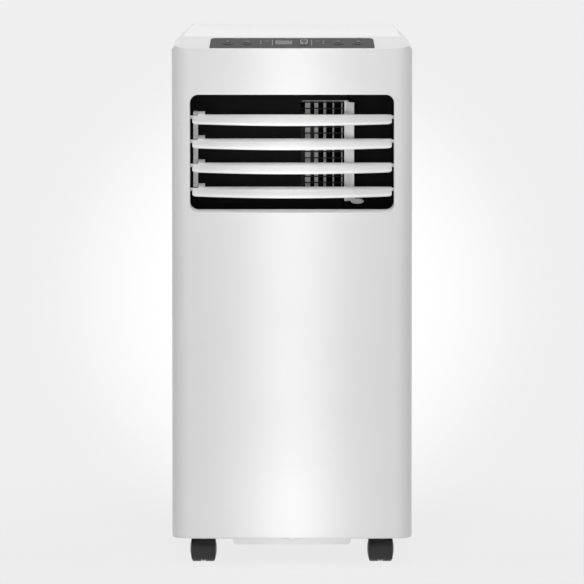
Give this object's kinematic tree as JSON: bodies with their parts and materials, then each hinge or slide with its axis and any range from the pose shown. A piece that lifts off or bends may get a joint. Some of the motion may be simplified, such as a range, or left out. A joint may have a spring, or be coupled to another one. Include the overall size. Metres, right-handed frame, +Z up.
{
  "type": "portable air conditioner",
  "caption": "Portable room air conditioner: white case on swivel castors, sloped control strip, linked swing louvers, rear filter grilles and hose outlet.",
  "frame": {"origin": "centre of the footprint on the floor", "axes": "+Z up, the outlet and the controls face -Y, +X to the right seen from the front"},
  "size_m": [0.305, 0.325, 0.678],
  "materials": {
    "white_abs": "satin moulded",
    "white_louver": "satin moulded",
    "grey_link": "satin moulded",
    "white_base": "satin moulded",
    "white_collar": "satin moulded",
    "fascia": "satin dark grey",
    "lens": "smooth tinted acrylic",
    "buttons": "satin dark grey",
    "key": "satin dark grey",
    "duct_black": "matte black",
    "guard_grey": "matte light grey",
    "wire_black": "black",
    "castor_hood": "satin black",
    "castor_wheel": "satin black",
    "filter_net": "fine nylon net",
    "plug_rubber": "moulded rubber",
    "gland_black": "moulded",
    "fin_aluminium": "mill finish fins",
    "copper": "drawn copper",
    "compressor_paint": "black paint",
    "motor_steel": "zinc plated",
    "wheel_plastic": "moulded grey",
    "deck_plastic": "moulded grey",
    "box_plastic": "moulded grey",
    "can_aluminium": "drawn can",
    "board_green": "solder mask",
    "screw_steel": "zinc plated"
  },
  "bodies": {
    "case": {"front_panel": "white_abs", "rear_cover": "white_abs", "top_cover": "white_abs", "grip_cup_left": "white_abs", "grip_cup_right": "white_abs", "base_pan": "white_base", "hose_collar": "white_collar", "hose_guard": "white_collar", "control_fascia": "fascia", "display_lens": "lens", "outlet_duct": "duct_black", "cool_scroll": "duct_black", "hot_scroll": "duct_black", "guard_bars": "guard_grey", "guard_wires": "wire_black", "compressor_feet": "plug_rubber", "cord_gland": "gland_black", "evaporator_fins": "fin_aluminium", "condenser_fins": "fin_aluminium", "evaporator_bends": "copper", "condenser_bends": "copper", "refrigerant_pipes": "copper", "accumulator": "copper", "compressor": "compressor_paint", "cool_motor": "motor_steel", "hot_motor": "motor_steel", "louver_motor": "motor_steel", "deck": "deck_plastic", "electrical_box": "box_plastic", "run_capacitor": "can_aluminium", "control_board": "board_green", "case_screws": "screw_steel"},
    "louver_1": {"louver_1": "white_louver"},
    "louver_2": {"louver_2": "white_louver"},
    "louver_3": {"louver_3": "white_louver"},
    "louver_4": {"louver_4": "white_louver"},
    "louver_link": {"louver_link": "grey_link"},
    "swing_vane": {"swing_vane": "white_louver"},
    "cool_wheel": {"cool_wheel": "wheel_plastic"},
    "hot_wheel": {"hot_wheel": "wheel_plastic"},
    "timer_button": {"timer_button": "buttons"},
    "mode_button": {"mode_button": "buttons"},
    "fan_button": {"fan_button": "buttons"},
    "sleep_button": {"sleep_button": "buttons"},
    "power_key": {"power_key": "key"},
    "upper_filter_door": {"upper_grille": "white_abs", "upper_filter": "filter_net"},
    "lower_filter_door": {"lower_grille": "white_abs", "lower_filter": "filter_net"},
    "drain_plug_low": {"drain_plug_low": "plug_rubber"},
    "drain_plug_high": {"drain_plug_high": "plug_rubber"},
    "castor_front_left_swivel": {"castor_front_left_hood": "castor_hood"},
    "castor_front_left_roll": {"castor_front_left_wheels": "castor_wheel"},
    "castor_front_right_swivel": {"castor_front_right_hood": "castor_hood"},
    "castor_front_right_roll": {"castor_front_right_wheels": "castor_wheel"},
    "castor_rear_left_swivel": {"castor_rear_left_hood": "castor_hood"},
    "castor_rear_left_roll": {"castor_rear_left_wheels": "castor_wheel"},
    "castor_rear_right_swivel": {"castor_rear_right_hood": "castor_hood"},
    "castor_rear_right_roll": {"castor_rear_right_wheels": "castor_wheel"}
  },
  "joints": [
    {"name": "louver_1_tilt", "type": "hinge", "parent": "case", "child": "louver_1", "pos_m": [0, -0.1375, 0.5698], "axis": [1, 0, 0], "range_deg": [-15, 35]},
    {"name": "louver_2_tilt", "type": "hinge", "parent": "case", "child": "louver_2", "pos_m": [0, -0.1375, 0.5392], "axis": [1, 0, 0], "range_deg": [-15, 35]},
    {"name": "louver_3_tilt", "type": "hinge", "parent": "case", "child": "louver_3", "pos_m": [0, -0.1375, 0.5086], "axis": [1, 0, 0], "range_deg": [-15, 35]},
    {"name": "louver_4_tilt", "type": "hinge", "parent": "case", "child": "louver_4", "pos_m": [0, -0.1375, 0.478], "axis": [1, 0, 0], "range_deg": [-15, 35]},
    {"name": "louver_link_pivot", "type": "hinge", "parent": "louver_1", "child": "louver_link", "pos_m": [-0.1224, -0.1285, 0.5744], "axis": [1, 0, 0], "range_deg": [-35, 15]},
    {"name": "swing_vane_turn", "type": "hinge", "parent": "case", "child": "swing_vane", "pos_m": [0.0695, -0.0915, 0.528], "axis": [0, 0, 1], "range_deg": [-44, 20]},
    {"name": "timer_button_press", "type": "slide", "parent": "case", "child": "timer_button", "axis": [0, 0.3107, -0.9505], "range_m": [0, 0.001], "stiffness_N_per_m": 900},
    {"name": "mode_button_press", "type": "slide", "parent": "case", "child": "mode_button", "axis": [0, 0.3107, -0.9505], "range_m": [0, 0.001], "stiffness_N_per_m": 900},
    {"name": "fan_button_press", "type": "slide", "parent": "case", "child": "fan_button", "axis": [0, 0.3107, -0.9505], "range_m": [0, 0.001], "stiffness_N_per_m": 900},
    {"name": "sleep_button_press", "type": "slide", "parent": "case", "child": "sleep_button", "axis": [0, 0.3107, -0.9505], "range_m": [0, 0.001], "stiffness_N_per_m": 900},
    {"name": "power_key_press", "type": "slide", "parent": "case", "child": "power_key", "axis": [0, 0.3107, -0.9505], "range_m": [0, 0.001], "stiffness_N_per_m": 900},
    {"name": "cool_wheel_spin", "type": "hinge", "parent": "case", "child": "cool_wheel", "pos_m": [-0.032, -0.045, 0.525], "axis": [0, 1, 0], "continuous": true},
    {"name": "hot_wheel_spin", "type": "hinge", "parent": "case", "child": "hot_wheel", "pos_m": [-0.03, 0.065, 0.168], "axis": [0, 1, 0], "continuous": true},
    {"name": "upper_filter_pull", "type": "slide", "parent": "case", "child": "upper_filter_door", "axis": [0, 1, 0], "range_m": [0, 0.06]},
    {"name": "lower_filter_pull", "type": "slide", "parent": "case", "child": "lower_filter_door", "axis": [0, 1, 0], "range_m": [0, 0.06]},
    {"name": "drain_plug_low_pull", "type": "slide", "parent": "case", "child": "drain_plug_low", "axis": [0, 1, 0], "range_m": [0, 0.03]},
    {"name": "drain_plug_high_pull", "type": "slide", "parent": "case", "child": "drain_plug_high", "axis": [0, 1, 0], "range_m": [0, 0.03]},
    {"name": "castor_front_left_swivel_turn", "type": "hinge", "parent": "case", "child": "castor_front_left_swivel", "pos_m": [-0.1132, -0.121, 0.034], "axis": [0, 0, 1], "continuous": true},
    {"name": "castor_front_left_wheel_spin", "type": "hinge", "parent": "castor_front_left_swivel", "child": "castor_front_left_roll", "pos_m": [-0.1132, -0.113, 0.0165], "axis": [1, 0, 0], "continuous": true},
    {"name": "castor_front_right_swivel_turn", "type": "hinge", "parent": "case", "child": "castor_front_right_swivel", "pos_m": [0.1132, -0.121, 0.034], "axis": [0, 0, 1], "continuous": true},
    {"name": "castor_front_right_wheel_spin", "type": "hinge", "parent": "castor_front_right_swivel", "child": "castor_front_right_roll", "pos_m": [0.1132, -0.113, 0.0165], "axis": [1, 0, 0], "continuous": true},
    {"name": "castor_rear_left_swivel_turn", "type": "hinge", "parent": "case", "child": "castor_rear_left_swivel", "pos_m": [-0.1132, 0.121, 0.034], "axis": [0, 0, 1], "continuous": true},
    {"name": "castor_rear_left_wheel_spin", "type": "hinge", "parent": "castor_rear_left_swivel", "child": "castor_rear_left_roll", "pos_m": [-0.1132, 0.129, 0.0165], "axis": [1, 0, 0], "continuous": true},
    {"name": "castor_rear_right_swivel_turn", "type": "hinge", "parent": "case", "child": "castor_rear_right_swivel", "pos_m": [0.1132, 0.121, 0.034], "axis": [0, 0, 1], "continuous": true},
    {"name": "castor_rear_right_wheel_spin", "type": "hinge", "parent": "castor_rear_right_swivel", "child": "castor_rear_right_roll", "pos_m": [0.1132, 0.129, 0.0165], "axis": [1, 0, 0], "continuous": true}
  ],
  "couplings": [
    {"joint": "louver_2_tilt", "follows": "louver_1_tilt", "ratio": 1},
    {"joint": "louver_3_tilt", "follows": "louver_1_tilt", "ratio": 1},
    {"joint": "louver_4_tilt", "follows": "louver_1_tilt", "ratio": 1},
    {"joint": "louver_link_pivot", "follows": "louver_1_tilt", "ratio": -1}
  ]
}
